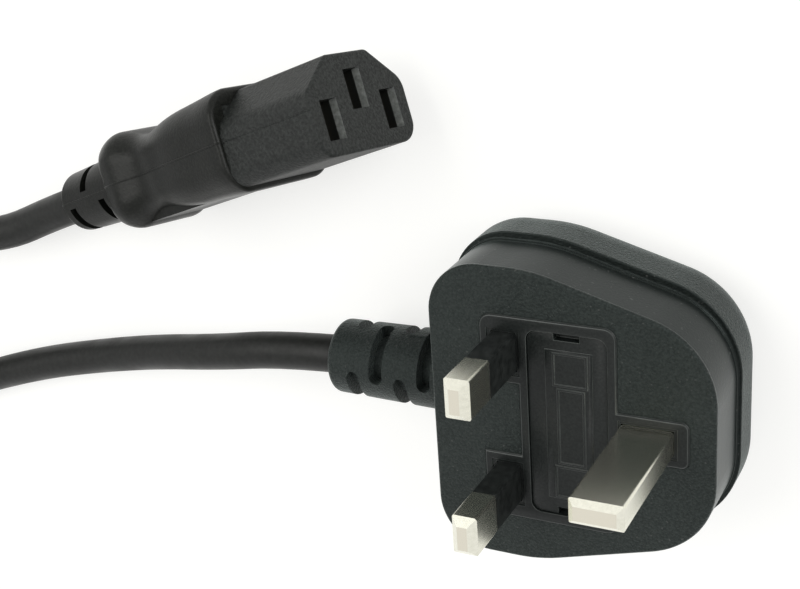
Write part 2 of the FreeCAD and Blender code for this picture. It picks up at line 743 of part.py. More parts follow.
BARREL_BORE = "(core_diameter / 2 + barrel_clearance)"
FUSE_BARREL_RADIUS = "(fuse_cap_diameter / 2 - fuse_cap_wall - fuse_fit)"
FUSE_BARREL_LENGTH = "(fuse_length - 2 * fuse_cap_wall - 2 * fuse_fit)"
fuse_barrel = new_part("Part::Cylinder", "fuse_barrel", Radius=FUSE_BARREL_RADIUS, Height=FUSE_BARREL_LENGTH)
lay_along_y(fuse_barrel, FUSE_X, "-" + FUSE_BARREL_LENGTH + " / 2", "(-fuse_depth)")
for label, shell_y, hollow_y in (
        ("fuse_cap_pin_end", "fuse_length / 2 - fuse_cap_length", "fuse_length / 2 - fuse_cap_length"),
        ("fuse_cap_cord_end", "-fuse_length / 2", "-fuse_length / 2 + fuse_cap_wall")):
    shell = new_part("Part::Cylinder", label + "_shell", Radius="fuse_cap_diameter / 2", Height="fuse_cap_length")
    hollow = new_part("Part::Cylinder", label + "_hollow", Radius="fuse_cap_diameter / 2 - fuse_cap_wall",
                      Height="fuse_cap_length - fuse_cap_wall")
    lay_along_y(shell, FUSE_X, shell_y, "(-fuse_depth)")
    lay_along_y(hollow, FUSE_X, hollow_y, "(-fuse_depth)")
    cap = doc.addObject("Part::Cut", label)
    cap.Base = shell
    cap.Tool = hollow


# Sheet-metal parts are boxes and tubes joined together.
def new_box(name, x, y, z, length, width, height):
    box = new_part("Part::Box", name, Length=length, Width=width, Height=height)
    put_in_plug(box, x, y, z)
    return box


def new_tube(name, inner, outer, length, lay):
    outside = new_part("Part::Cylinder", name + "_outside", Radius=outer, Height=length)
    inside = new_part("Part::Cylinder", name + "_inside", Radius=inner, Height=length)
    for tool in (outside, inside):
        lay(tool)
    tube = doc.addObject("Part::Cut", name)
    tube.Base = outside
    tube.Tool = inside
    return tube


def join(label, pieces):
    whole = doc.addObject("Part::MultiFuse", label)
    whole.Label = label
    whole.Shapes = pieces
    whole.Refine = True
    return whole


# Fuse clips: a half round spring under each cap, on a stem that goes through the carrier's floor.
# One foot reaches the live pin. The other carries the crimp for the live core.
CRADLE_INNER = "(fuse_cap_diameter / 2 + clip_clearance)"
CRADLE_OUTER = "(fuse_cap_diameter / 2 + clip_clearance + sheet_thickness)"
STEM_TOP = "(fuse_depth + fuse_cap_diameter / 2 + clip_clearance + sheet_thickness / 2)"
for label, middle, foot_end in (("fuse_clip_pin_end", CLIP_Y, "(-pin_thickness / 2)"),
                                ("fuse_clip_cord_end", "(-" + CLIP_Y + ")",
                                 "(feed_barrel_place - " + BARREL_RADIUS + ")")):
    low_y = "(" + middle + " - clip_width / 2)"

    def lay_cradle(tool, low_y=low_y):
        tool.Angle = 180
        lay_along_y(tool, FUSE_X, low_y, "(-fuse_depth)")
    pieces = [new_tube(label + "_cradle", CRADLE_INNER, CRADLE_OUTER, "clip_width", lay_cradle)]
    pieces.append(new_box(label + "_stem", "(" + FUSE_X + " - sheet_thickness / 2)", low_y,
                          "(-" + PIN_END_Z + " - sheet_thickness)", "sheet_thickness", "clip_width",
                          PIN_END_Z + " + sheet_thickness - " + STEM_TOP))
    pieces.append(new_box(label + "_foot", foot_end, low_y, "(-" + PIN_END_Z + " - sheet_thickness)",
                          FUSE_X + " + sheet_thickness / 2 - " + foot_end, "clip_width", "sheet_thickness"))
    if label == "fuse_clip_cord_end":
        def lay_feed(tool):
            lay_along_y(tool, "feed_barrel_place", "(-" + CLIP_Y + " + clip_width / 2 - barrel_overlap)",
                        "(-" + BARREL_Z + ")")
        pieces.append(new_tube("feed_barrel", BARREL_BORE, BARREL_RADIUS, "barrel_length", lay_feed))
    join(label, pieces)


# Crimp terminals under the neutral and earth pins.
def lay_neutral_barrel(tool):
    lay_along_y(tool, "0", "(-pin_spacing / 2 + pin_width / 2 - barrel_overlap)", "(-" + BARREL_Z + ")")


def lay_earth_barrel(tool):
    tool.Placement = FreeCAD.Placement(FreeCAD.Vector(), FreeCAD.Rotation(FreeCAD.Vector(0, 1, 0), 90))
    put_in_plug(tool, "(earth_distance - earth_breadth / 2 + barrel_overlap - barrel_length)", "0",
                "(-" + BARREL_Z + ")")


TAB_Z = "(-" + PIN_END_Z + " - sheet_thickness)"
join("neutral_terminal", [
    new_box("neutral_tab", "(-pin_thickness / 2)", "-pin_spacing / 2 - pin_width / 2", TAB_Z,
            "pin_thickness", "pin_width", "sheet_thickness"),
    new_tube("neutral_barrel", BARREL_BORE, BARREL_RADIUS, "barrel_length", lay_neutral_barrel)])
join("earth_terminal", [
    new_box("earth_tab", "(earth_distance - earth_breadth / 2)", "-earth_thickness / 2", TAB_Z,
            "earth_breadth", "earth_thickness", "sheet_thickness"),
    new_tube("earth_barrel", BARREL_BORE, BARREL_RADIUS, "barrel_length", lay_earth_barrel)])


# Cords and cores: straight runs joined by tangent arcs, each arc as large as its two runs allow.
def route_edges(name, points):
    spots = [FreeCAD.Vector(*point) for point in points]
    edges = []
    start = spots[0]
    radii = []
    for before, corner, after in zip(spots, spots[1:], spots[2:]):
        inward = (corner - before).normalize()
        outward = (after - corner).normalize()
        turn = inward.getAngle(outward)
        reach = 0.45 * min((corner - before).Length, (after - corner).Length)
        radii.append(reach / math.tan(turn / 2))
        arc_start = corner - inward * reach
        arc_end = corner + outward * reach
        to_centre = (outward - inward).normalize()
        middle = corner + to_centre * (radii[-1] / math.cos(turn / 2) - radii[-1])
        edges.append(Part.LineSegment(start, arc_start).toShape())
        edges.append(Part.Arc(arc_start, middle, arc_end).toShape())
        start = arc_end
    edges.append(Part.LineSegment(start, spots[-1]).toShape())
    print(name, "arc radii", [round(radius, 1) for radius in radii])
    return edges, (spots[1] - spots[0]).normalize()


def round_tube(label, points, diameter):
    edges, heading = route_edges(label, points)
    path = Part.Wire(edges)
    section = Part.Wire([Part.Circle(FreeCAD.Vector(*points[0]), heading, diameter / 2).toShape()])
    sweep = Part.BRepOffsetAPI.MakePipeShell(path)
    sweep.setFrenetMode(False)
    sweep.add(section)
    sweep.build()
    sweep.makeSolid()
    expected = math.pi * diameter ** 2 / 4 * path.Length
    solid = sweep.shape()
    if abs(solid.Volume / expected - 1) > 0.01:
        raise ValueError(label + ": the tube's volume is not its section times its length")
    print(label, "length", round(path.Length, 1))
    tube = doc.addObject("Part::Feature", label)
    tube.Shape = solid
    return tube


# The cord's end inside the plug: the sheath reaches through the relief, and three cores go on.
tail = new_part("Part::Cylinder", "plug_cord_tail", Radius="cord_diameter / 2",
                Height="relief_reach - tail_end")
tail.Placement = FreeCAD.Placement(FreeCAD.Vector(), FreeCAD.Rotation(FreeCAD.Vector(0, 1, 0), 90))
put_in_plug(tail, "(-relief_reach)", "0", "(-relief_depth)")

tail_x = -value("tail_end")
axis_z = -value("relief_depth")
ring = value("core_ring")
low_z = -value(BARREL_Z)
crimp_end = -value("pin_spacing / 2 - pin_width / 2")
feed_x = value("feed_barrel_place")
feed_end = -value(CLIP_Y + " - clip_width / 2")
earth_end = value("earth_distance - earth_breadth / 2")
half_ring = ring / 2
low_ring = ring * math.sqrt(3) / 2
PLUG_CORES = [
    ("neutral_core", [(tail_x, -half_ring, axis_z - low_ring),
                      (tail_x + 1.9, -half_ring, axis_z - low_ring - 0.1),
                      (tail_x + 5.3, -1.6, low_z), (0, -3.6, low_z), (0, crimp_end, low_z)]),
    ("live_core", [(tail_x, -half_ring, axis_z + low_ring),
                   (tail_x + 3, -half_ring + 0.2, axis_z + low_ring - 0.2),
                   (0.5, 0.6, low_z), (feed_x, 0.6, low_z), (feed_x, feed_end, low_z)]),
    ("earth_core", [(tail_x, ring, axis_z), (tail_x + 2.7, ring + 0.3, axis_z - 0.2),
                    (-0.6, 3.9, low_z), (8, 5.2, low_z), (12.2, 0, low_z), (earth_end, 0, low_z)]),
]
for label, points in PLUG_CORES:
    core = round_tube(label, points, value("core_diameter"))
    put_in_plug(core)

# Connector insert: the rigid nose with three slots for the pins of the appliance inlet.
# It is drawn with X out of its face, Y towards the earth slot and Z up.
connector_insert = new_body("connector_insert", put_in_connector)
nose_sketch = new_sketch(connector_insert, "YZ_Plane")
NOSE_CORNERS = [("nose_top", "nose_top_half_width"), ("nose_shoulder", "nose_half_width"),
                ("-nose_base", "nose_half_width"), ("-nose_base", "-nose_half_width"),
                ("nose_shoulder", "-nose_half_width"), ("nose_top", "-nose_top_half_width")]
add_polygon(nose_sketch, NOSE_CORNERS)
nose = pad(connector_insert, nose_sketch, "nose_length", reverse=True)
for spots, radius in ((NOSE_CORNERS[0::5], "nose_top_radius"), (NOSE_CORNERS[1::3], "nose_shoulder_radius"),
                      (NOSE_CORNERS[2:4], "nose_base_radius")):
    nose = soften(connector_insert, nose, upright_at(spots, along=0), "Fillet", radius)
soften(connector_insert, nose, lying_at(0, "0"), "Fillet", "nose_edge_radius")
root_sketch = new_sketch(connector_insert, "YZ_Plane", offset="-nose_length")
add_rectangle(root_sketch, "-root_half_height", "root_half_height", "-root_half_width", "root_half_width")
pad(connector_insert, root_sketch, "root_length", reverse=True)
CONTACTS = [("live", "-contact_offset", "contact_spacing"), ("earth", "contact_offset", "0"),
            ("neutral", "-contact_offset", "-contact_spacing")]
contact_slots = new_sketch(connector_insert, "YZ_Plane")
tail_slots = new_sketch(connector_insert, "YZ_Plane")
SLEEVE_HALF_WIDTH = "(contact_slot_width / 2 - contact_fit)"
TAIL_LOW = "(contact_slot_width / 2 - contact_fit - sheet_thickness)"
for name, y, z in CONTACTS:
    add_rectangle(contact_slots, y + " - contact_slot_length / 2", y + " + contact_slot_length / 2",
                  z + " - contact_slot_width / 2", z + " + contact_slot_width / 2")
    add_rectangle(tail_slots, y + " - contact_tail_half_width - pin_fit",
                  y + " + contact_tail_half_width + pin_fit", z + " + " + TAIL_LOW + " - pin_fit",
                  z + " + " + SLEEVE_HALF_WIDTH + " + pin_fit")
pocket(connector_insert, contact_slots, "contact_slot_depth")
pocket(connector_insert, tail_slots, "nose_length + root_length")

# Contacts: folded sleeves that spring on the inlet's pins, with a tail and a crimp behind.
CONTACT_BARREL_Z = "(contact_slot_width / 2 - contact_fit - " + BARREL_RADIUS + ")"
for name, y, z in CONTACTS:
    contact = new_body("connector_" + name + "_contact", put_in_connector)
    sleeve_sketch = new_sketch(contact, "YZ_Plane", offset="-contact_start")
    for inset in ("0", "sheet_thickness"):
        half_y = " (contact_slot_length / 2 - contact_fit - " + inset + ")"
        half_z = " (contact_slot_width / 2 - contact_fit - " + inset + ")"
        add_rectangle(sleeve_sketch, y + " -" + half_y, y + " +" + half_y, z + " -" + half_z, z + " +" + half_z)
    pad(contact, sleeve_sketch, "contact_length", reverse=True)
    strip_sketch = new_sketch(contact, "YZ_Plane", offset="-contact_start - contact_length + barrel_overlap")
    add_rectangle(strip_sketch, y + " - contact_tail_half_width", y + " + contact_tail_half_width",
                  z + " + " + TAIL_LOW, z + " + " + SLEEVE_HALF_WIDTH)
    pad(contact, strip_sketch, "contact_tail_end - contact_start - contact_length + barrel_overlap",
        reverse=True)
    crimp_sketch = new_sketch(contact, "YZ_Plane", offset="-contact_tail_end + barrel_overlap")
    add_circle(crimp_sketch, y, z + " + " + CONTACT_BARREL_Z, BARREL_RADIUS)
    add_circle(crimp_sketch, y, z + " + " + CONTACT_BARREL_Z, BARREL_BORE)
    pad(contact, crimp_sketch, "contact_barrel_length", reverse=True)

# Connector grip: moulded over the insert and the cord in one piece, with a waist and a thick ring.
grip_shell = new_body("grip_shell", put_in_connector)
GRIP_STATIONS = ["front", "palm", "middle", "slope", "waist", "rise", "ring", "crown", "rear"]
grip_sketches = []
for station in GRIP_STATIONS:
    place = "nose_length" if station == "front" else station + "_place"
    half_height = station + "_half_height"
    section = new_sketch(grip_shell, "YZ_Plane", offset="-" + place)
    add_rounded_rectangle(section, half_height, station + "_half_width", half_height + " * grip_corner_share")
    section.Visibility = False
    grip_sketches.append(section)
doc.recompute()
loft = grip_shell.newObject("PartDesign::AdditiveLoft", "grip_loft")
loft.Profile = grip_sketches[0]
loft.Sections = grip_sketches[1:]
doc.recompute()
grip = soften(grip_shell, loft, lying_at(0, "-nose_length"), "Fillet", "grip_front_rounding")
soften(grip_shell, grip, lying_at(0, "-rear_place"), "Fillet", "rear_rounding")
finger_sketch = new_sketch(grip_shell, "XZ_Plane")
add_rectangle(finger_sketch, "-finger_pad_end", "-finger_pad_start", "-finger_pad_half_width",
              "finger_pad_half_width")
pad(grip_shell, finger_sketch, "finger_pad_drop")
neck_profile = new_sketch(grip_shell, "XZ_Plane")
add_polygon(neck_profile, [("-neck_root", "0"), ("-neck_root", "neck_root_radius"),
                           ("-neck_end", "neck_end_radius"), ("-neck_end", "0")])
neck = grip_shell.newObject("PartDesign::Revolution", "connector_neck")
neck.Profile = neck_profile
neck.ReferenceAxis = (neck_profile, ["H_Axis"])
doc.recompute()
soften(grip_shell, neck, lying_at(0, "-neck_end"), "Fillet", "relief_rounding")
socket_sketch = new_sketch(grip_shell, "YZ_Plane", offset="-nose_length")
SOCKET_Y = "(root_half_height + moulding_gap)"
SOCKET_Z = "(root_half_width + moulding_gap)"
add_rectangle(socket_sketch, "-" + SOCKET_Y, SOCKET_Y, "-" + SOCKET_Z, SOCKET_Z)
pocket(grip_shell, socket_sketch, "root_length + moulding_gap")
space_sketch = new_sketch(grip_shell, "XZ_Plane")
add_polygon(space_sketch, [("-nose_length - root_length", "grip_space_half_width"),
                           ("-grip_space_shoulder", "grip_space_half_width"),
                           ("-tail_start", "grip_space_end_half_width"),
                           ("-tail_start", "-grip_space_end_half_width"),
                           ("-grip_space_shoulder", "-grip_space_half_width"),
                           ("-nose_length - root_length", "-grip_space_half_width")])
pocket(grip_shell, space_sketch, "2 * grip_space_half_height", both_ways=True)
neck_bore = new_sketch(grip_shell, "YZ_Plane", offset="-tail_start")
add_circle(neck_bore, "0", "0", "cord_diameter / 2 + moulding_gap")
pocket(grip_shell, neck_bore, "neck_end - tail_start")


def place_neck_slot(tool, along, turn):
    back = "(" + along + " - neck_end)"
    level = back + " * cos(connector_pitch * 1 deg)"
    tool.Placement = FreeCAD.Placement(FreeCAD.Vector(), CONNECTOR_TURN * turn)
    put(tool, "connector_face_x + " + level + " * cos(connector_yaw * 1 deg)",
        "connector_face_y + " + level + " * sin(connector_yaw * 1 deg)",
        "connector_height - " + back + " * sin(connector_pitch * 1 deg)")


connector_grip = doc.addObject("Part::Cut", "connector_grip")
connector_grip.Base = grip_shell
connector_grip.Tool = relief_slots("neck", place_neck_slot, (("180",), ("0",), ("180",)),
                                   ("neck_first_slot", "neck_slot_pitch", "neck_slot_width",
                                    "relief_core_radius", "neck_root_radius + relief_core_radius",
                                    "neck_slot_angle"), rounded=False)

# The cord's end inside the connector, and its three cores.
connector_tail = new_body("connector_cord_tail", put_in_connector)
tail_sketch = new_sketch(connector_tail, "YZ_Plane", offset="-tail_start")
add_circle(tail_sketch, "0", "0", "cord_diameter / 2")
pad(connector_tail, tail_sketch, "neck_end - tail_start", reverse=True)
crimp_x = -value("contact_tail_end")
shoulder_x = -value("grip_space_shoulder")
tail_x = -value("tail_start")
ring_places = {"live": (-half_ring, low_ring), "earth": (ring, 0.0), "neutral": (-half_ring, -low_ring)}
for name, y_text, z_text in CONTACTS:
    y, z = value(y_text), value(z_text + " + " + CONTACT_BARREL_Z)
    end_y, end_z = ring_places[name]
    points = [(crimp_x, y, z), (shoulder_x + 1, y + 0.02, z), (tail_x + 2.5, end_y, end_z),
              (tail_x, end_y + 0.02, end_z)]
    core = round_tube("connector_" + name + "_core", points, value("core_diameter"))
    put_in_connector(core)

# Coil: the spare length of the cord, wound flat in two layers of three turns, with one more turn on top.
COIL_OUTSIDE = "coil_outer_turn + cord_diameter / 2"
COIL_WHEELS = (("coil_outside", COIL_OUTSIDE, "cord_lift"),
               ("coil_inside", "coil_inner_turn - cord_diameter / 2", "cord_lift"),
               ("coil_step", "coil_outer_turn - cord_diameter / 2", "cord_lift + coil_layer_rise + cord_diameter"))
wheels = []
for name, radius, low in COIL_WHEELS:
    wheel = new_part("Part::Cylinder", name, Radius=radius, Height="2 * coil_layer_rise + cord_diameter")
    put(wheel, "coil_centre_x", "coil_centre_y", low)
    wheels.append(wheel)
coil_band = wheels[0]
for wheel in wheels[1:]:
    cut = doc.addObject("Part::Cut", wheel.Label + "_cut")
    cut.Base = coil_band
    cut.Tool = wheel
    coil_band = cut
doc.recompute()
coil_round = doc.addObject("Part::Fillet", "coil_round")
coil_round.Base = coil_band
rounding = value("coil_rounding")
rims = [index + 1 for index, edge in enumerate(coil_band.Shape.Edges) if len(edge.Vertexes) == 1]
coil_round.Edges = [(index, rounding, rounding) for index in rims]


# Where the cord runs onto the coil, and off it: straight ends that touch the outer turn.
def coil_end(heading_name, hand, height, drop):
    heading = math.radians(value(heading_name))
    centre = FreeCAD.Vector(value("coil_centre_x"), value("coil_centre_y"), value(height))
    along = FreeCAD.Vector(math.cos(heading), math.sin(heading), 0)
    touch = centre + FreeCAD.Vector(-along.y, along.x, 0) * hand * value("coil_outer_turn")
    return touch - along * value("lead_length") - FreeCAD.Vector(0, 0, value(drop)), touch


leads = []
coil_ends = {}
ends = (("lead_in", "lead_in_heading", 1, CORD_HEIGHT, "0"),
        ("lead_out", "lead_out_heading", -1, CORD_HEIGHT + " + 2 * coil_layer_rise", "lead_out_drop"))
for name, heading, hand, height, drop in ends:
    start, touch = coil_end(heading, hand, height, drop)
    lead = new_part("Part::Cylinder", name, Radius="cord_diameter / 2", Height="lead_length")
    lead.Placement = FreeCAD.Placement(start, FreeCAD.Rotation(FreeCAD.Vector(0, 0, 1), touch - start))
    leads.append(lead)
    coil_ends[name] = tuple(start)
join("cord_coil", [coil_round] + leads)

# The cord between its coil and its two ends. Its points are picked by hand, for how it lies.
exit_x = value(PIN_LINE_X + " - relief_reach")
exit_z = value(FACE_Z + " - relief_depth")
floor_z = value(CORD_HEIGHT)
PLUG_CORD = [
    (exit_x, 0, exit_z), (-46.5, -0.9, 11.8), (-61.5, -4.5, 10.0), (-77.5, -8.3, 6.4), (-92.5, -12.3, 3.9),
    (-107, -16.0, floor_z), (-121, -20.6, floor_z), (-135, -26.0, floor_z), coil_ends["lead_in"],
]
round_tube("plug_cord", PLUG_CORD, value("cord_diameter"))
connector_face = FreeCAD.Vector(value("connector_face_x"), value("connector_face_y"), value("connector_height"))
neck_tip = connector_face + CONNECTOR_TURN.multVec(FreeCAD.Vector(-value("neck_end"), 0, 0))
CONNECTOR_CORD = [
    tuple(neck_tip), (-98.0, 17.3, 6.4), (-109, 12.3, 6.6), (-121.9, 10.5, 8.2), (-135.7, 12.7, 10.9),
    coil_ends["lead_out"],
]
round_tube("connector_cord", CONNECTOR_CORD, value("cord_diameter"))

NODES = [
    "plug_body", "pin_carrier", "earth_pin", "live_pin", "neutral_pin", "live_pin_sleeve",
    "neutral_pin_sleeve", "fuse_carrier", "fuse_barrel", "fuse_cap_pin_end", "fuse_cap_cord_end",
    "fuse_clip_pin_end", "fuse_clip_cord_end", "neutral_terminal", "earth_terminal", "live_core",
    "neutral_core", "earth_core", "plug_cord_tail", "plug_cord", "cord_coil", "connector_cord",
    "connector_cord_tail", "connector_grip", "connector_insert", "connector_live_contact",
    "connector_earth_contact", "connector_neutral_contact", "connector_live_core",
    "connector_earth_core", "connector_neutral_core",
]

doc.recompute()
for thing in doc.Objects:
    if "Invalid" in thing.State or "Error" in thing.State:
        raise ValueError("not built: " + thing.Label)
finished = {thing.Label: thing for thing in doc.Objects if thing.Label in NODES}
for label in NODES:
    shape = finished[label].Shape
    if shape.isNull() or not shape.isValid() or not shape.Solids:
        raise ValueError("bad shape: " + label)
os.makedirs("parts", exist_ok=True)
for label in NODES:
    finished[label].Shape.exportStep(os.path.join("parts", label + ".step"))
    print(label, "solids", len(finished[label].Shape.Solids), "volume", round(finished[label].Shape.Volume, 1))
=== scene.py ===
import math

import bmesh
import bpy
from mathutils import Matrix, Vector


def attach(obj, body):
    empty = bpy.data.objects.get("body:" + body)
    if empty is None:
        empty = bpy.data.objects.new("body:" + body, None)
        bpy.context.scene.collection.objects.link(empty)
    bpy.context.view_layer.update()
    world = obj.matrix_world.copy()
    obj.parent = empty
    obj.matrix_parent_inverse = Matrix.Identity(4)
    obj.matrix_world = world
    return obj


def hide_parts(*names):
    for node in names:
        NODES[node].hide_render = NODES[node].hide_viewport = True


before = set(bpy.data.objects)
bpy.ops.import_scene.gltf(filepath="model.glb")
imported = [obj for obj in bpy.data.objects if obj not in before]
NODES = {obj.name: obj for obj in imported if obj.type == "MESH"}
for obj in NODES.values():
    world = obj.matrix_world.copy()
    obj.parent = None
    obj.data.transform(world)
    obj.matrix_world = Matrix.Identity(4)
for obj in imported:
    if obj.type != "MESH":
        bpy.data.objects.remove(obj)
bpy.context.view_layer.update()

# Plug body: soft black PVC, moulded over the wired pin carrier and round the end of the cord.
# The mould is grained for the pin face and the rear cover, and smooth for the wall between them,
# and its two halves leave a fine line of flash along the ledge of the cover.
MM = 0.001
LEDGE_HEIGHT = 13.4
FLASH_ABOVE_LEDGE = 0.6
FLASH_RADIUS = 0.2
FLASH_END = -31.0
SMOOTH_WALL_TOP, GRAINED_FACE = 24.0, 24.6
SMOOTH_WALL_FOOT, GRAINED_COVER = 13.6, 13.0
SMOOTH_NECK, GRAINED_RELIEF = -11.4, -12.0
GRAIN_DEPTH = 0.2
SMOOTH_AND_GRAINED_ROUGHNESS = (0.29, 0.45)
SOFT_BLACK = (0.0045, 0.006, 0.0055)
SOFT_GREY = (0.017, 0.0205, 0.019)
SPECK_GREY = (0.045, 0.047, 0.045)
PLASTIC_TINT = (0.86, 1.0, 0.96, 1.0)
SHEEN_TINT = (0.84, 1.0, 0.95, 1.0)
SMOOTH_BELOW = math.radians(32)


def new_finish(name, roughness, metallic=0.0, specular=0.5):
    finish = bpy.data.materials.new(name)
    finish.use_nodes = True
    shader = finish.node_tree.nodes["Principled BSDF"]
    shader.inputs["Roughness"].default_value = roughness
    shader.inputs["Metallic"].default_value = metallic
    shader.inputs["Specular IOR Level"].default_value = specular
    return finish


def add_node(finish, kind, **sockets):
    made = finish.node_tree.nodes.new(kind)
    for name, value in sockets.items():
        made.inputs[name.replace("_", " ")].default_value = value
    return made


def join(finish, source, target):
    finish.node_tree.links.new(source, target)


def to_shader(finish, source, socket):
    join(finish, source, finish.node_tree.nodes["Principled BSDF"].inputs[socket])


def own_place(finish):
    return add_node(finish, "ShaderNodeTexCoord").outputs["Object"]


def grain(finish, scale, detail=2.0, roughness=0.5):
    made = add_node(finish, "ShaderNodeTexNoise", Scale=scale, Detail=detail, Roughness=roughness)
    join(finish, own_place(finish), made.inputs["Vector"])
    return made.outputs["Fac"]


def spread(finish, source, low, high, start, end):
    made = add_node(finish, "ShaderNodeMapRange", From_Min=low, From_Max=high, To_Min=start, To_Max=end)
    join(finish, source, made.inputs["Value"])
    return made.outputs["Result"]


def combine(finish, operation, *sources):
    made = add_node(finish, "ShaderNodeMath")
    made.operation = operation
    for socket, source in zip(made.inputs, sources):
        if isinstance(source, (int, float)):
            socket.default_value = source
        else:
            join(finish, source, socket)
    return made.outputs["Value"]


def raise_by(finish, height, strength, distance):
    made = add_node(finish, "ShaderNodeBump", Strength=strength, Distance=distance)
    join(finish, height, made.inputs["Height"])
    to_shader(finish, made.outputs["Normal"], "Normal")


# The two colours are values, or colours that other nodes give.
def blend_colors(finish, source, first, second):
    made = add_node(finish, "ShaderNodeMix")
    made.data_type = "RGBA"
    join(finish, source, made.inputs[0])
    for socket, color in zip(made.inputs[6:8], (first, second)):
        if isinstance(color, tuple):
            socket.default_value = (*color, 1.0)
        else:
            join(finish, color, socket)
    return made.outputs[2]


def dress(finish, slot, *names):
    for name in names:
        thing = NODES[name]
        thing.data.materials.clear()
        thing.data.materials.append(finish)
        for polygon in thing.data.polygons:
            polygon.use_smooth = True
        thing.data.set_sharp_from_angle(angle=SMOOTH_BELOW)


soft_plastic = new_finish("soft_plastic", 0.5, specular=0.22)
soft_shader = soft_plastic.node_tree.nodes["Principled BSDF"]
soft_shader.inputs["Sheen Roughness"].default_value = 0.35
soft_shader.inputs["Specular Tint"].default_value = PLASTIC_TINT
soft_shader.inputs["Sheen Tint"].default_value = SHEEN_TINT
place = add_node(soft_plastic, "ShaderNodeSeparateXYZ")
join(soft_plastic, own_place(soft_plastic), place.inputs["Vector"])
on_face = spread(soft_plastic, place.outputs["Z"], SMOOTH_WALL_TOP * MM, GRAINED_FACE * MM, 0.0, 1.0)
on_cover = spread(soft_plastic, place.outputs["Z"], SMOOTH_WALL_FOOT * MM, GRAINED_COVER * MM, 0.0, 1.0)
on_relief = spread(soft_plastic, place.outputs["X"], SMOOTH_NECK * MM, GRAINED_RELIEF * MM, 0.0, 1.0)
grained = combine(soft_plastic, "MAXIMUM", on_face, on_cover)
grained = combine(soft_plastic, "MAXIMUM", grained, on_relief)
fine_grain = grain(soft_plastic, 2700.0, 3.0, 0.6)
grain_height = combine(soft_plastic, "MULTIPLY", fine_grain, combine(soft_plastic, "ADD", grained, 0.12))
raise_by(soft_plastic, grain_height, 1.0, GRAIN_DEPTH * MM)
pits = combine(soft_plastic, "MULTIPLY", spread(soft_plastic, fine_grain, 0.38, 0.64, 0.0, 1.0),
               combine(soft_plastic, "ADD", combine(soft_plastic, "MULTIPLY", grained, 0.7), 0.3))
specks = spread(soft_plastic, grain(soft_plastic, 1700.0, 1.0), 0.70, 0.76, 0.0, 1.0)
mottled = blend_colors(soft_plastic, pits, SOFT_BLACK, SOFT_GREY)
to_shader(soft_plastic, blend_colors(soft_plastic, specks, mottled, SPECK_GREY), "Base Color")
to_shader(soft_plastic, spread(soft_plastic, grained, 0.0, 1.0, *SMOOTH_AND_GRAINED_ROUGHNESS), "Roughness")
to_shader(soft_plastic, spread(soft_plastic, grained, 0.0, 1.0, 0.17, 0.22), "Specular IOR Level")
to_shader(soft_plastic, spread(soft_plastic, grained, 0.0, 1.0, 0.1, 0.2), "Sheen Weight")
dress(soft_plastic, "soft_plastic", "plug_body")


# A bead along a line: the line becomes a curve, and a round profile is drawn along it.
BEAD_SIDES = 8
BEAD_STEP = 0.5


def bead_tree():
    tree = bpy.data.node_groups.new("mould_line", "GeometryNodeTree")
    tree.interface.new_socket("Line", in_out="INPUT", socket_type="NodeSocketGeometry")
    tree.interface.new_socket("Bead Radius", in_out="INPUT", socket_type="NodeSocketFloat")
    tree.interface.new_socket("Step Length", in_out="INPUT", socket_type="NodeSocketFloat")
    tree.interface.new_socket("Finish", in_out="INPUT", socket_type="NodeSocketMaterial")
    tree.interface.new_socket("Bead", in_out="OUTPUT", socket_type="NodeSocketGeometry")
    given = tree.nodes.new("NodeGroupInput")
    made = tree.nodes.new("NodeGroupOutput")
    path = tree.nodes.new("GeometryNodeMeshToCurve")
    steps = tree.nodes.new("GeometryNodeResampleCurve")
    steps.mode = "LENGTH"
    profile = tree.nodes.new("GeometryNodeCurvePrimitiveCircle")
    profile.inputs["Resolution"].default_value = BEAD_SIDES
    sweep = tree.nodes.new("GeometryNodeCurveToMesh")
    sweep.inputs["Fill Caps"].default_value = True
    smooth = tree.nodes.new("GeometryNodeSetShadeSmooth")
    real = tree.nodes.new("GeometryNodeRealizeInstances")
    finish = tree.nodes.new("GeometryNodeSetMaterial")
    for source, target in (
            (given.outputs["Line"], path.inputs["Mesh"]), (path.outputs["Curve"], steps.inputs["Curve"]),
            (given.outputs["Bead Radius"], profile.inputs["Radius"]),
            (given.outputs["Step Length"], steps.inputs["Length"]),
            (steps.outputs["Curve"], sweep.inputs["Curve"]),
            (profile.outputs["Curve"], sweep.inputs["Profile Curve"]),
            (sweep.outputs["Mesh"], smooth.inputs["Geometry"]),
            (smooth.outputs["Geometry"], real.inputs["Geometry"]),
            (real.outputs["Geometry"], finish.inputs["Geometry"]),
            (given.outputs["Finish"], finish.inputs["Material"]),
            (finish.outputs["Geometry"], made.inputs["Bead"])):
        tree.links.new(source, target)
    return tree


BEAD_TREE = bead_tree()


# Where a flat cut through a CAD piece meets its skin. Only the edges that wanted() accepts are kept.
SAME_POINT = 0.001 * MM
ON_THE_CUT = 0.0005 * MM


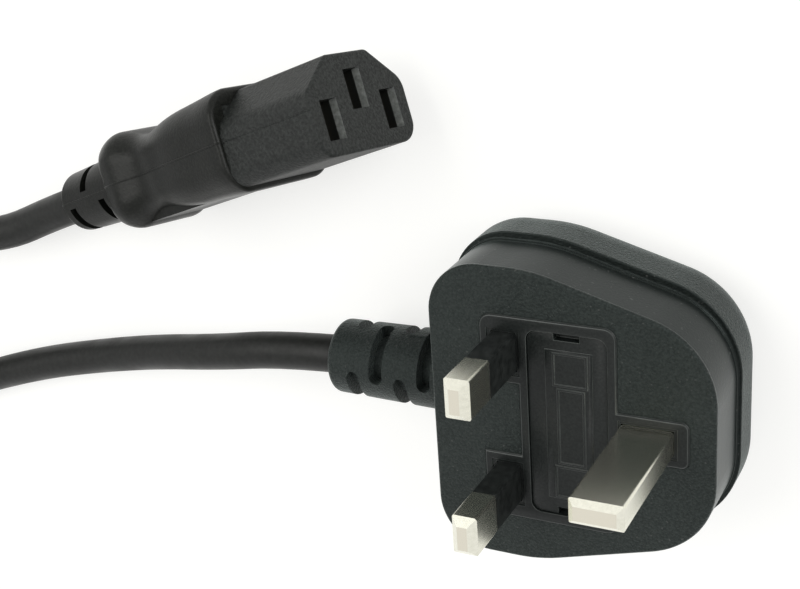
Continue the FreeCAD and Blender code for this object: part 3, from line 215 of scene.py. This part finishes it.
def skin_line(node, spot, facing, wanted):
    solid = bmesh.new()
    solid.from_mesh(NODES[node].data)
    bmesh.ops.remove_doubles(solid, verts=solid.verts, dist=SAME_POINT)
    everything = solid.verts[:] + solid.edges[:] + solid.faces[:]
    cut = bmesh.ops.bisect_plane(solid, geom=everything, plane_co=spot, plane_no=facing, dist=ON_THE_CUT)
    solid.normal_update()
    line = bmesh.new()
    corners = {}
    for edge in cut["geom_cut"]:
        if not isinstance(edge, bmesh.types.BMEdge) or not edge.link_faces:
            continue
        middle = (edge.verts[0].co + edge.verts[1].co) / 2
        outwards = sum((face.normal for face in edge.link_faces), Vector()).normalized()
        if not wanted(middle, outwards):
            continue
        ends = []
        for vert in edge.verts:
            corner = tuple(round(v, 7) for v in vert.co)
            if corner not in corners:
                corners[corner] = line.verts.new(vert.co)
            ends.append(corners[corner])
        if ends[0] is not ends[1] and not line.edges.get(ends):
            line.edges.new(ends)
    solid.free()
    return line


def lay_bead(name, line, radius, finish, body):
    wire = bpy.data.meshes.new(name + "_line")
    line.to_mesh(wire)
    line.free()
    draft = bpy.data.objects.new(name + "_draft", wire)
    bpy.context.scene.collection.objects.link(draft)
    modifier = draft.modifiers.new("bead", "NODES")
    modifier.node_group = BEAD_TREE
    settings = {"Bead Radius": radius, "Step Length": BEAD_STEP * MM, "Finish": finish}
    for item in BEAD_TREE.interface.items_tree:
        if item.in_out == "INPUT" and item.name in settings:
            modifier[item.identifier] = settings[item.name]
    drawn = draft.evaluated_get(bpy.context.evaluated_depsgraph_get())
    bead = bpy.data.objects.new(name, bpy.data.meshes.new_from_object(drawn))
    draft.modifiers.clear()
    bpy.data.objects.remove(draft)
    bpy.context.scene.collection.objects.link(bead)
    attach(bead, body)
    return bead


def round_the_plug(middle, outwards):
    from_centre = Vector((middle.x, middle.y, 0)).normalized()
    return middle.x > FLASH_END * MM and outwards.dot(from_centre) > 0.3


flash_spot = Vector((0, 0, (LEDGE_HEIGHT + FLASH_ABOVE_LEDGE) * MM))
flash_line = skin_line("plug_body", flash_spot, Vector((0, 0, 1)), round_the_plug)
lay_bead("plug_mould_line", flash_line, FLASH_RADIUS * MM, soft_plastic, "plug")

# Pin carrier: a hard black moulding that holds the three pins and the fuse well, and stands a little
# proud of the soft body. Its edges are sharp from the tool, with a hair of a radius that catches light,
# and the faces of that radius are painted a lighter grey as a painted highlight.
CARRIER_EDGE = 0.09
SHARP_ABOVE = math.radians(40)
FLAT_BELOW = math.radians(0.5)


def color_by(finish, source, dark, light):
    to_shader(finish, blend_colors(finish, source, dark, light), "Base Color")


hard_plastic = new_finish("hard_plastic", 0.42, specular=0.22)
tool_marks = grain(hard_plastic, 2600.0, 2.0)
raise_by(hard_plastic, tool_marks, 0.35, 0.0001)
color_by(hard_plastic, spread(hard_plastic, tool_marks, 0.35, 0.65, 0.0, 1.0),
         (0.0048, 0.0062, 0.0058), (0.0105, 0.0128, 0.012))
dress(hard_plastic, "hard_plastic", "pin_carrier")
# The lighter grey for the bevel faces is a painted highlight along the edges.
edge_highlight_paint = new_finish("edge_highlight_paint", 0.35, specular=0.35)
color_by(edge_highlight_paint, grain(edge_highlight_paint, 500.0, 2.0), (0.01, 0.0125, 0.0115), (0.05, 0.057, 0.053))


def ease_edges(name, width):
    thing = NODES[name]
    thing.data.materials.append(edge_highlight_paint)
    weld = thing.modifiers.new("one_skin", "WELD")
    weld.merge_threshold = SAME_POINT
    flat = thing.modifiers.new("whole_faces", "DECIMATE")
    flat.decimate_type = "DISSOLVE"
    flat.angle_limit = FLAT_BELOW
    bevel = thing.modifiers.new("eased_edges", "BEVEL")
    bevel.width = width
    bevel.segments = 2
    bevel.limit_method = "ANGLE"
    bevel.angle_limit = SHARP_ABOVE
    bevel.harden_normals = True
    # The bevelled faces take the second material, the lighter painted highlight.
    bevel.material = 1


ease_edges("pin_carrier", CARRIER_EDGE * MM)

# Pins: drawn brass bars, nickel plated, with chamfered tips whose plate has worn thin on the ends. The
# live and neutral pins wear a black sleeve on the half next to the face.
WORN_END = (0.69, 0.655, 0.555)
plated_brass = new_finish("plated_brass", 0.27, metallic=1.0)
lengthways = add_node(plated_brass, "ShaderNodeMapping", Scale=(1.0, 1.0, 0.03))
join(plated_brass, own_place(plated_brass), lengthways.inputs["Vector"])
drawn = add_node(plated_brass, "ShaderNodeTexNoise", Scale=1600.0, Detail=2.0)
join(plated_brass, lengthways.outputs["Vector"], drawn.inputs["Vector"])
streaked = blend_colors(plated_brass, spread(plated_brass, drawn.outputs["Fac"], 0.3, 0.7, 0.0, 1.0),
                        (0.73, 0.72, 0.615), (0.79, 0.78, 0.68))
surface = add_node(plated_brass, "ShaderNodeNewGeometry")
facing = add_node(plated_brass, "ShaderNodeSeparateXYZ")
join(plated_brass, surface.outputs["True Normal"], facing.inputs["Vector"])
on_end = spread(plated_brass, facing.outputs["Z"], 0.96, 0.99, 0.0, 1.0)
to_shader(plated_brass, blend_colors(plated_brass, on_end, streaked, WORN_END), "Base Color")
dress(plated_brass, "plated_brass", "earth_pin", "live_pin", "neutral_pin")

sleeve_plastic = new_finish("sleeve_plastic", 0.36, specular=0.3)
rubbed = grain(sleeve_plastic, 900.0, 3.0)
color_by(sleeve_plastic, spread(sleeve_plastic, rubbed, 0.35, 0.7, 0.0, 1.0),
         (0.0085, 0.0098, 0.0094), (0.019, 0.0215, 0.0205))
to_shader(sleeve_plastic, spread(sleeve_plastic, rubbed, 0.35, 0.65, 0.3, 0.42), "Roughness")
dress(sleeve_plastic, "sleeve_plastic", "live_pin_sleeve", "neutral_pin_sleeve")

# Fuse drawer: the part that slides out. A hard black carrier snaps round a cartridge fuse, which is
# a ceramic barrel between two pressed caps.
DRAWER_EDGE = 0.08
dress(hard_plastic, "hard_plastic", "fuse_carrier")
# Its edges are bevelled and painted lighter as a painted highlight, like the pin carrier's.
ease_edges("fuse_carrier", DRAWER_EDGE * MM)
ceramic = new_finish("ceramic", 0.28)
color_by(ceramic, grain(ceramic, 420.0, 3.0), (0.74, 0.72, 0.66), (0.86, 0.84, 0.79))
dress(ceramic, "ceramic", "fuse_barrel")
dress(plated_brass, "plated_brass", "fuse_cap_pin_end", "fuse_cap_cord_end")

# Clips and terminals: sprung brass strip, folded to grip the fuse caps, and small brass ferrules that
# are crimped on the cores. All of them sit in pockets of the carrier, under the drawer and the pins.
spring_brass = new_finish("spring_brass", 0.28, metallic=1.0)
rolled = grain(spring_brass, 320.0, 3.0)
color_by(spring_brass, rolled, (0.62, 0.45, 0.2), (0.78, 0.6, 0.3))
dress(spring_brass, "spring_brass", "fuse_clip_pin_end", "fuse_clip_cord_end",
      "neutral_terminal", "earth_terminal")

# Cores: three stranded copper wires, each in its own colour of PVC. They leave the sheath inside the
# moulding and run to the pins and to the fuse clip, and at the other end to the three contacts.
live_insulation = new_finish("live_insulation", 0.38)
color_by(live_insulation, grain(live_insulation, 220.0), (0.15, 0.05, 0.018), (0.21, 0.08, 0.03))
neutral_insulation = new_finish("neutral_insulation", 0.38)
color_by(neutral_insulation, grain(neutral_insulation, 220.0), (0.015, 0.09, 0.36), (0.03, 0.14, 0.47))
earth_insulation = new_finish("earth_insulation", 0.38)
stripes = add_node(earth_insulation, "ShaderNodeTexWave", Scale=180.0)
join(earth_insulation, own_place(earth_insulation), stripes.inputs["Vector"])
color_by(earth_insulation, spread(earth_insulation, stripes.outputs["Fac"], 0.45, 0.55, 0.0, 1.0),
         (0.02, 0.22, 0.04), (0.72, 0.6, 0.03))
dress(live_insulation, "live_insulation", "live_core", "connector_live_core")
dress(neutral_insulation, "neutral_insulation", "neutral_core", "connector_neutral_core")
dress(earth_insulation, "earth_insulation", "earth_core", "connector_earth_core")

# Connector: a hard nose with three slots for an appliance inlet, in a soft moulded grip that narrows
# to a waist behind a ring. The mould halves meet along its middle.
satin_grip = new_finish("satin_grip", 0.4, specular=0.17)
grip_grain = grain(satin_grip, 2300.0, 3.0, 0.6)
grip_patches = grain(satin_grip, 120.0, 2.0)
raise_by(satin_grip, grip_grain, 0.35, 0.00014)
color_by(satin_grip, spread(satin_grip, grip_grain, 0.4, 0.7, 0.0, 1.0),
         (0.004, 0.0045, 0.0036), (0.0105, 0.0115, 0.0095))
to_shader(satin_grip, spread(satin_grip, grip_patches, 0.35, 0.65, 0.3, 0.42), "Roughness")
dress(satin_grip, "soft_plastic", "connector_grip")
nose_plastic = new_finish("nose_plastic", 0.48, specular=0.21)
nose_grain = grain(nose_plastic, 2100.0, 3.0, 0.6)
raise_by(nose_plastic, nose_grain, 0.9, 0.0002)
color_by(nose_plastic, spread(nose_plastic, nose_grain, 0.38, 0.66, 0.0, 1.0),
         (0.0052, 0.0063, 0.0056), (0.0215, 0.0242, 0.0224))
dress(nose_plastic, "hard_plastic", "connector_insert")
# The contacts are the same spring brass painted darker: painted shade for their place deep in the slots.
shaded_brass = new_finish("shaded_brass", 0.42, metallic=1.0)
color_by(shaded_brass, grain(shaded_brass, 320.0, 3.0), (0.3, 0.25, 0.16), (0.42, 0.36, 0.25))
dress(shaded_brass, "spring_brass", "connector_live_contact", "connector_earth_contact",
      "connector_neutral_contact")

CONNECTOR_FACE = Vector((-24.1, 46.4, 17.6))
CONNECTOR_YAW, CONNECTOR_PITCH, CONNECTOR_ROLL = math.radians(21.5), math.radians(-8.0), math.radians(-11.0)
CONNECTOR_TURN = (Matrix.Rotation(CONNECTOR_YAW, 3, "Z") @ Matrix.Rotation(CONNECTOR_PITCH, 3, "Y")
                  @ Matrix.Rotation(CONNECTOR_ROLL, 3, "X"))
GRIP_TOP = 4.6
NOSE_TOP = 9.0
UPRIGHT_SHARE = 0.35
GRIP_SEAM_RADIUS = 0.15
NOSE_SEAM_RADIUS = 0.1


def in_connector(place):
    return CONNECTOR_TURN.transposed() @ (place / MM - CONNECTOR_FACE)


def faces_up(outwards):
    return (CONNECTOR_TURN.transposed() @ outwards).z > UPRIGHT_SHARE


def along_the_grip(middle, outwards):
    return in_connector(middle).z > GRIP_TOP and faces_up(outwards)


def along_the_nose(middle, outwards):
    return in_connector(middle).z > NOSE_TOP and faces_up(outwards)


seam_spot = CONNECTOR_FACE * MM
seam_facing = CONNECTOR_TURN @ Vector((0, 1, 0))
grip_seam = skin_line("connector_grip", seam_spot, seam_facing, along_the_grip)
grip_seam_bead = lay_bead("connector_mould_line", grip_seam, GRIP_SEAM_RADIUS * MM, satin_grip,
                          "plug")
nose_seam = skin_line("connector_insert", seam_spot, seam_facing, along_the_nose)
nose_seam_bead = lay_bead("nose_mould_line", nose_seam, NOSE_SEAM_RADIUS * MM, nose_plastic,
                          "plug")

# The walls of the three slots that face up are painted a lighter grey from the mouth down to here: painted
# light, where light from above falls into the slots.
PAINTED_LIGHT_DEPTH = 1.4
FADE = 0.15
slot_wall_painted_light = new_finish("slot_wall_painted_light", 0.6, specular=0.2)
depth = add_node(slot_wall_painted_light, "ShaderNodeVectorMath")
depth.operation = "DOT_PRODUCT"
depth.inputs[1].default_value = CONNECTOR_TURN @ Vector((1, 0, 0))
join(slot_wall_painted_light, own_place(slot_wall_painted_light), depth.inputs[0])
face_depth = (CONNECTOR_TURN @ Vector((1, 0, 0))).dot(CONNECTOR_FACE)
at_mouth = spread(slot_wall_painted_light, depth.outputs["Value"], (face_depth - PAINTED_LIGHT_DEPTH - FADE) * MM,
                  (face_depth - PAINTED_LIGHT_DEPTH) * MM, 0.0, 1.0)
uneven = spread(slot_wall_painted_light, grain(slot_wall_painted_light, 1500.0, 3.0), 0.3, 0.7, 0.5, 1.0)
painted_light = combine(slot_wall_painted_light, "MULTIPLY", at_mouth, uneven)
color_by(slot_wall_painted_light, painted_light, (0.006, 0.0068, 0.0062), (0.26, 0.275, 0.26))
SLOTS = [(-2.0, 7.0), (2.0, 0.0), (-2.0, -7.0)]
SLOT_HALF_HEIGHT = 3.2
SLOT_HALF_WIDTH = 1.95
insert_mesh = NODES["connector_insert"].data
insert_mesh.materials.append(slot_wall_painted_light)
# Only the slot walls that face up take the painted light.
for polygon in insert_mesh.polygons:
    spot = in_connector(polygon.center)
    facing = CONNECTOR_TURN.transposed() @ polygon.normal
    in_slot = any(abs(spot.y - y) < SLOT_HALF_HEIGHT and abs(spot.z - z) < SLOT_HALF_WIDTH
                  for y, z in SLOTS)
    if in_slot and facing.z > 0.8:
        polygon.material_index = 1

# Cord: three cores in a round black sheath, 1.8 m from plug to connector. The length that isn't laid
# out is wound in a neat coil of three layers, whose turns lie beside and on each other.
CORD_DIAMETER = 6.6
ON_FLOOR = 3.4
LAYER_RISE = 6.6
TURN_PITCH = 6.7
COIL_CENTRE = Vector((-189.3, -6.1, 0.0))
OUTER_TURN = 41.0
FIRST_AZIMUTH = -64.0
TRAVEL = 2393
TURN_STEP = 13
FULL_TURN = 360
SHIFT_START = 180
LAST_CLIMB_START = 233
LEAD_LENGTH = 25.5
LEAD_DROP = 2.7
CORD_END_BEHIND_FACE = 70.2
PLUG_SIDE = [
    (-34.2, 0, 12.2), (-46.5, -0.9, 11.8), (-61.5, -4.5, 10.0), (-77.5, -8.3, 6.4), (-92.5, -12.3, 3.9),
    (-107, -16.0, ON_FLOOR), (-121, -20.6, ON_FLOOR), (-135, -26.0, ON_FLOOR),
]
CONNECTOR_SIDE = [
    (-135.7, 12.7, 10.9), (-121.9, 10.5, 8.2), (-109, 12.3, 6.6), (-98, 17.3, 6.4),
    tuple(CONNECTOR_FACE + CONNECTOR_TURN @ Vector((-CORD_END_BEHIND_FACE, 0, 0))),
]


# How much of a shift from turn to turn, or from layer to layer, is done after this much travel.
def shifts_done(travel, first, until, start=SHIFT_START):
    done = 0.0
    for lap in range(first, until):
        share = (travel - FULL_TURN * lap - start) / (FULL_TURN - start)
        share = min(max(share, 0.0), 1.0)
        done += (1 - math.cos(math.pi * share)) / 2
    return done


def coil_spot(travel, ahead=0.0):
    inwards = shifts_done(travel, 0, 2)
    outwards = shifts_done(travel, 3, 5)
    climbs = shifts_done(travel, 2, 3) + shifts_done(travel, 5, 6, LAST_CLIMB_START)
    radius = OUTER_TURN - TURN_PITCH * (inwards - outwards)
    azimuth = math.radians(FIRST_AZIMUTH - travel)
    out = Vector((math.cos(azimuth), math.sin(azimuth), 0))
    onwards = Vector((math.sin(azimuth), -math.cos(azimuth), 0))
    return COIL_CENTRE + radius * out + ahead * onwards + Vector((0, 0, ON_FLOOR + LAYER_RISE * climbs))


route = list(PLUG_SIDE)
route += [coil_spot(0, -LEAD_LENGTH), coil_spot(0, -LEAD_LENGTH / 2)]
route += [coil_spot(travel) for travel in range(TURN_STEP, TRAVEL, TURN_STEP)]
route += [coil_spot(TRAVEL, LEAD_LENGTH / 2) - Vector((0, 0, LEAD_DROP / 2)),
          coil_spot(TRAVEL, LEAD_LENGTH) - Vector((0, 0, LEAD_DROP))]
route += CONNECTOR_SIDE
cord_sheath = new_finish("cord_sheath", 0.4, specular=0.24)
sheath_grain = grain(cord_sheath, 1100.0, 3.0)
raise_by(cord_sheath, sheath_grain, 0.16, 0.0001)
color_by(cord_sheath, spread(cord_sheath, sheath_grain, 0.35, 0.7, 0.0, 1.0),
         (0.005, 0.0055, 0.0046), (0.011, 0.0117, 0.0104))
handled = spread(cord_sheath, grain(cord_sheath, 160.0), 0.35, 0.65, 0.36, 0.48)
to_shader(cord_sheath, handled, "Roughness")
dress(cord_sheath, "cord_sheath", "plug_cord_tail", "connector_cord_tail")
cord_curve = bpy.data.curves.new("cord", "CURVE")
cord_curve.dimensions = "3D"
cord_curve.bevel_depth = CORD_DIAMETER / 2 * MM
cord_curve.bevel_resolution = 8
cord_curve.resolution_u = 5
cord_curve.use_fill_caps = True
spline = cord_curve.splines.new("NURBS")
spline.points.add(len(route) - 1)
for point, spot in zip(spline.points, route):
    point.co = (spot[0] * MM, spot[1] * MM, spot[2] * MM, 1.0)
spline.order_u = 3
spline.use_endpoint_u = True
cord = bpy.data.objects.new("cord", cord_curve)
bpy.context.scene.collection.objects.link(cord)
cord_curve.materials.append(cord_sheath)
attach(cord, "plug")
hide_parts("plug_cord", "cord_coil", "connector_cord")
on_cord = [NODES[name] for name in sorted(NODES)
           if name.startswith("connector_") and name != "connector_cord"]
on_cord += [grip_seam_bead, nose_seam_bead]

# Studio: a white sheet that the object lies on, soft light from all round, and a camera that looks
# down on the pins from the earth pin's side.
CAMERA_LENS = 66.32
CAMERA_SPOT = Vector((82.0505, 104.1299, 208.6886))
camera_data = bpy.data.cameras.new("camera")
camera_data.sensor_width = 36.0
camera_data.lens = CAMERA_LENS
camera_data.clip_start = 0.01
camera_data.clip_end = 20.0
camera = bpy.data.objects.new("camera", camera_data)
bpy.context.scene.collection.objects.link(camera)
to_right = Vector((0.893608, -0.067616, -0.443727))
to_top = Vector((-0.113798, 0.922158, -0.369695))
to_back = Vector((0.434184, 0.380858, 0.816353))
turn = Matrix((to_right, to_top, to_back)).transposed().to_4x4()
camera.matrix_world = Matrix.Translation(CAMERA_SPOT * MM) @ turn
bpy.context.scene.camera = camera

SHEET_HALF = 3.0
SHEET_GLOW = 0.65
sheet_mesh = bpy.data.meshes.new("floor")
sheet_mesh.from_pydata([(-SHEET_HALF, -SHEET_HALF, 0), (SHEET_HALF, -SHEET_HALF, 0),
                        (SHEET_HALF, SHEET_HALF, 0), (-SHEET_HALF, SHEET_HALF, 0)], [], [(0, 1, 2, 3)])
sheet = bpy.data.objects.new("floor", sheet_mesh)
bpy.context.scene.collection.objects.link(sheet)
paper = bpy.data.materials.new("paper")
paper.use_nodes = True
paper.node_tree.nodes.remove(paper.node_tree.nodes["Principled BSDF"])
white = add_node(paper, "ShaderNodeBsdfDiffuse", Color=(0.86, 0.86, 0.85, 1.0))
faint = add_node(paper, "ShaderNodeBsdfDiffuse", Color=(0.42, 0.42, 0.41, 1.0))
glow = add_node(paper, "ShaderNodeEmission", Color=(1.0, 1.0, 0.985, 1.0), Strength=SHEET_GLOW)
both = add_node(paper, "ShaderNodeAddShader")
choose = add_node(paper, "ShaderNodeMixShader")
ray = add_node(paper, "ShaderNodeLightPath")
join(paper, faint.outputs["BSDF"], both.inputs[0])
join(paper, glow.outputs["Emission"], both.inputs[1])
seen = combine(paper, "MAXIMUM", ray.outputs["Is Camera Ray"], ray.outputs["Is Glossy Ray"])
join(paper, combine(paper, "MAXIMUM", seen, ray.outputs["Is Transmission Ray"]), choose.inputs[0])
join(paper, white.outputs["BSDF"], choose.inputs[1])
join(paper, both.outputs["Shader"], choose.inputs[2])
join(paper, choose.outputs["Shader"], paper.node_tree.nodes["Material Output"].inputs["Surface"])
sheet_mesh.materials.append(paper)


def soft_light(name, towards, distance, size, power, color=(1.0, 1.0, 1.0)):
    data = bpy.data.lights.new(name, "AREA")
    data.shape = "DISK"
    data.size = size
    data.energy = power
    data.color = color
    lamp = bpy.data.objects.new(name, data)
    direction = Vector(towards).normalized()
    lamp.location = direction * distance
    lamp.rotation_mode = "QUATERNION"
    lamp.rotation_quaternion = direction.to_track_quat("Z", "Y")
    bpy.context.scene.collection.objects.link(lamp)


soft_light("key", (0.75, 0.5, 0.5), 1.0, 0.6, 5.0)
soft_light("top", (-0.43, 0.35, 0.83), 0.9, 0.7, 3.6, (1.0, 0.99, 0.96))
soft_light("front", (-0.1, -0.9, 0.42), 1.0, 0.8, 1.2)

SKY_LEVEL = 0.55
world = bpy.data.worlds.new("surround")
bpy.context.scene.world = world
world.use_nodes = True
background = world.node_tree.nodes["Background"]
background.inputs["Color"].default_value = (1.0, 1.0, 1.0, 1.0)
sky_ray = add_node(world, "ShaderNodeLightPath")
sky_seen = combine(world, "MAXIMUM", sky_ray.outputs["Is Camera Ray"], sky_ray.outputs["Is Glossy Ray"])
sky_seen = combine(world, "MAXIMUM", sky_seen, sky_ray.outputs["Is Transmission Ray"])
level = add_node(world, "ShaderNodeMapRange", To_Min=SKY_LEVEL, To_Max=1.0)
join(world, sky_seen, level.inputs["Value"])
join(world, level.outputs["Result"], background.inputs["Strength"])
bpy.context.scene.view_settings.view_transform = "Standard"
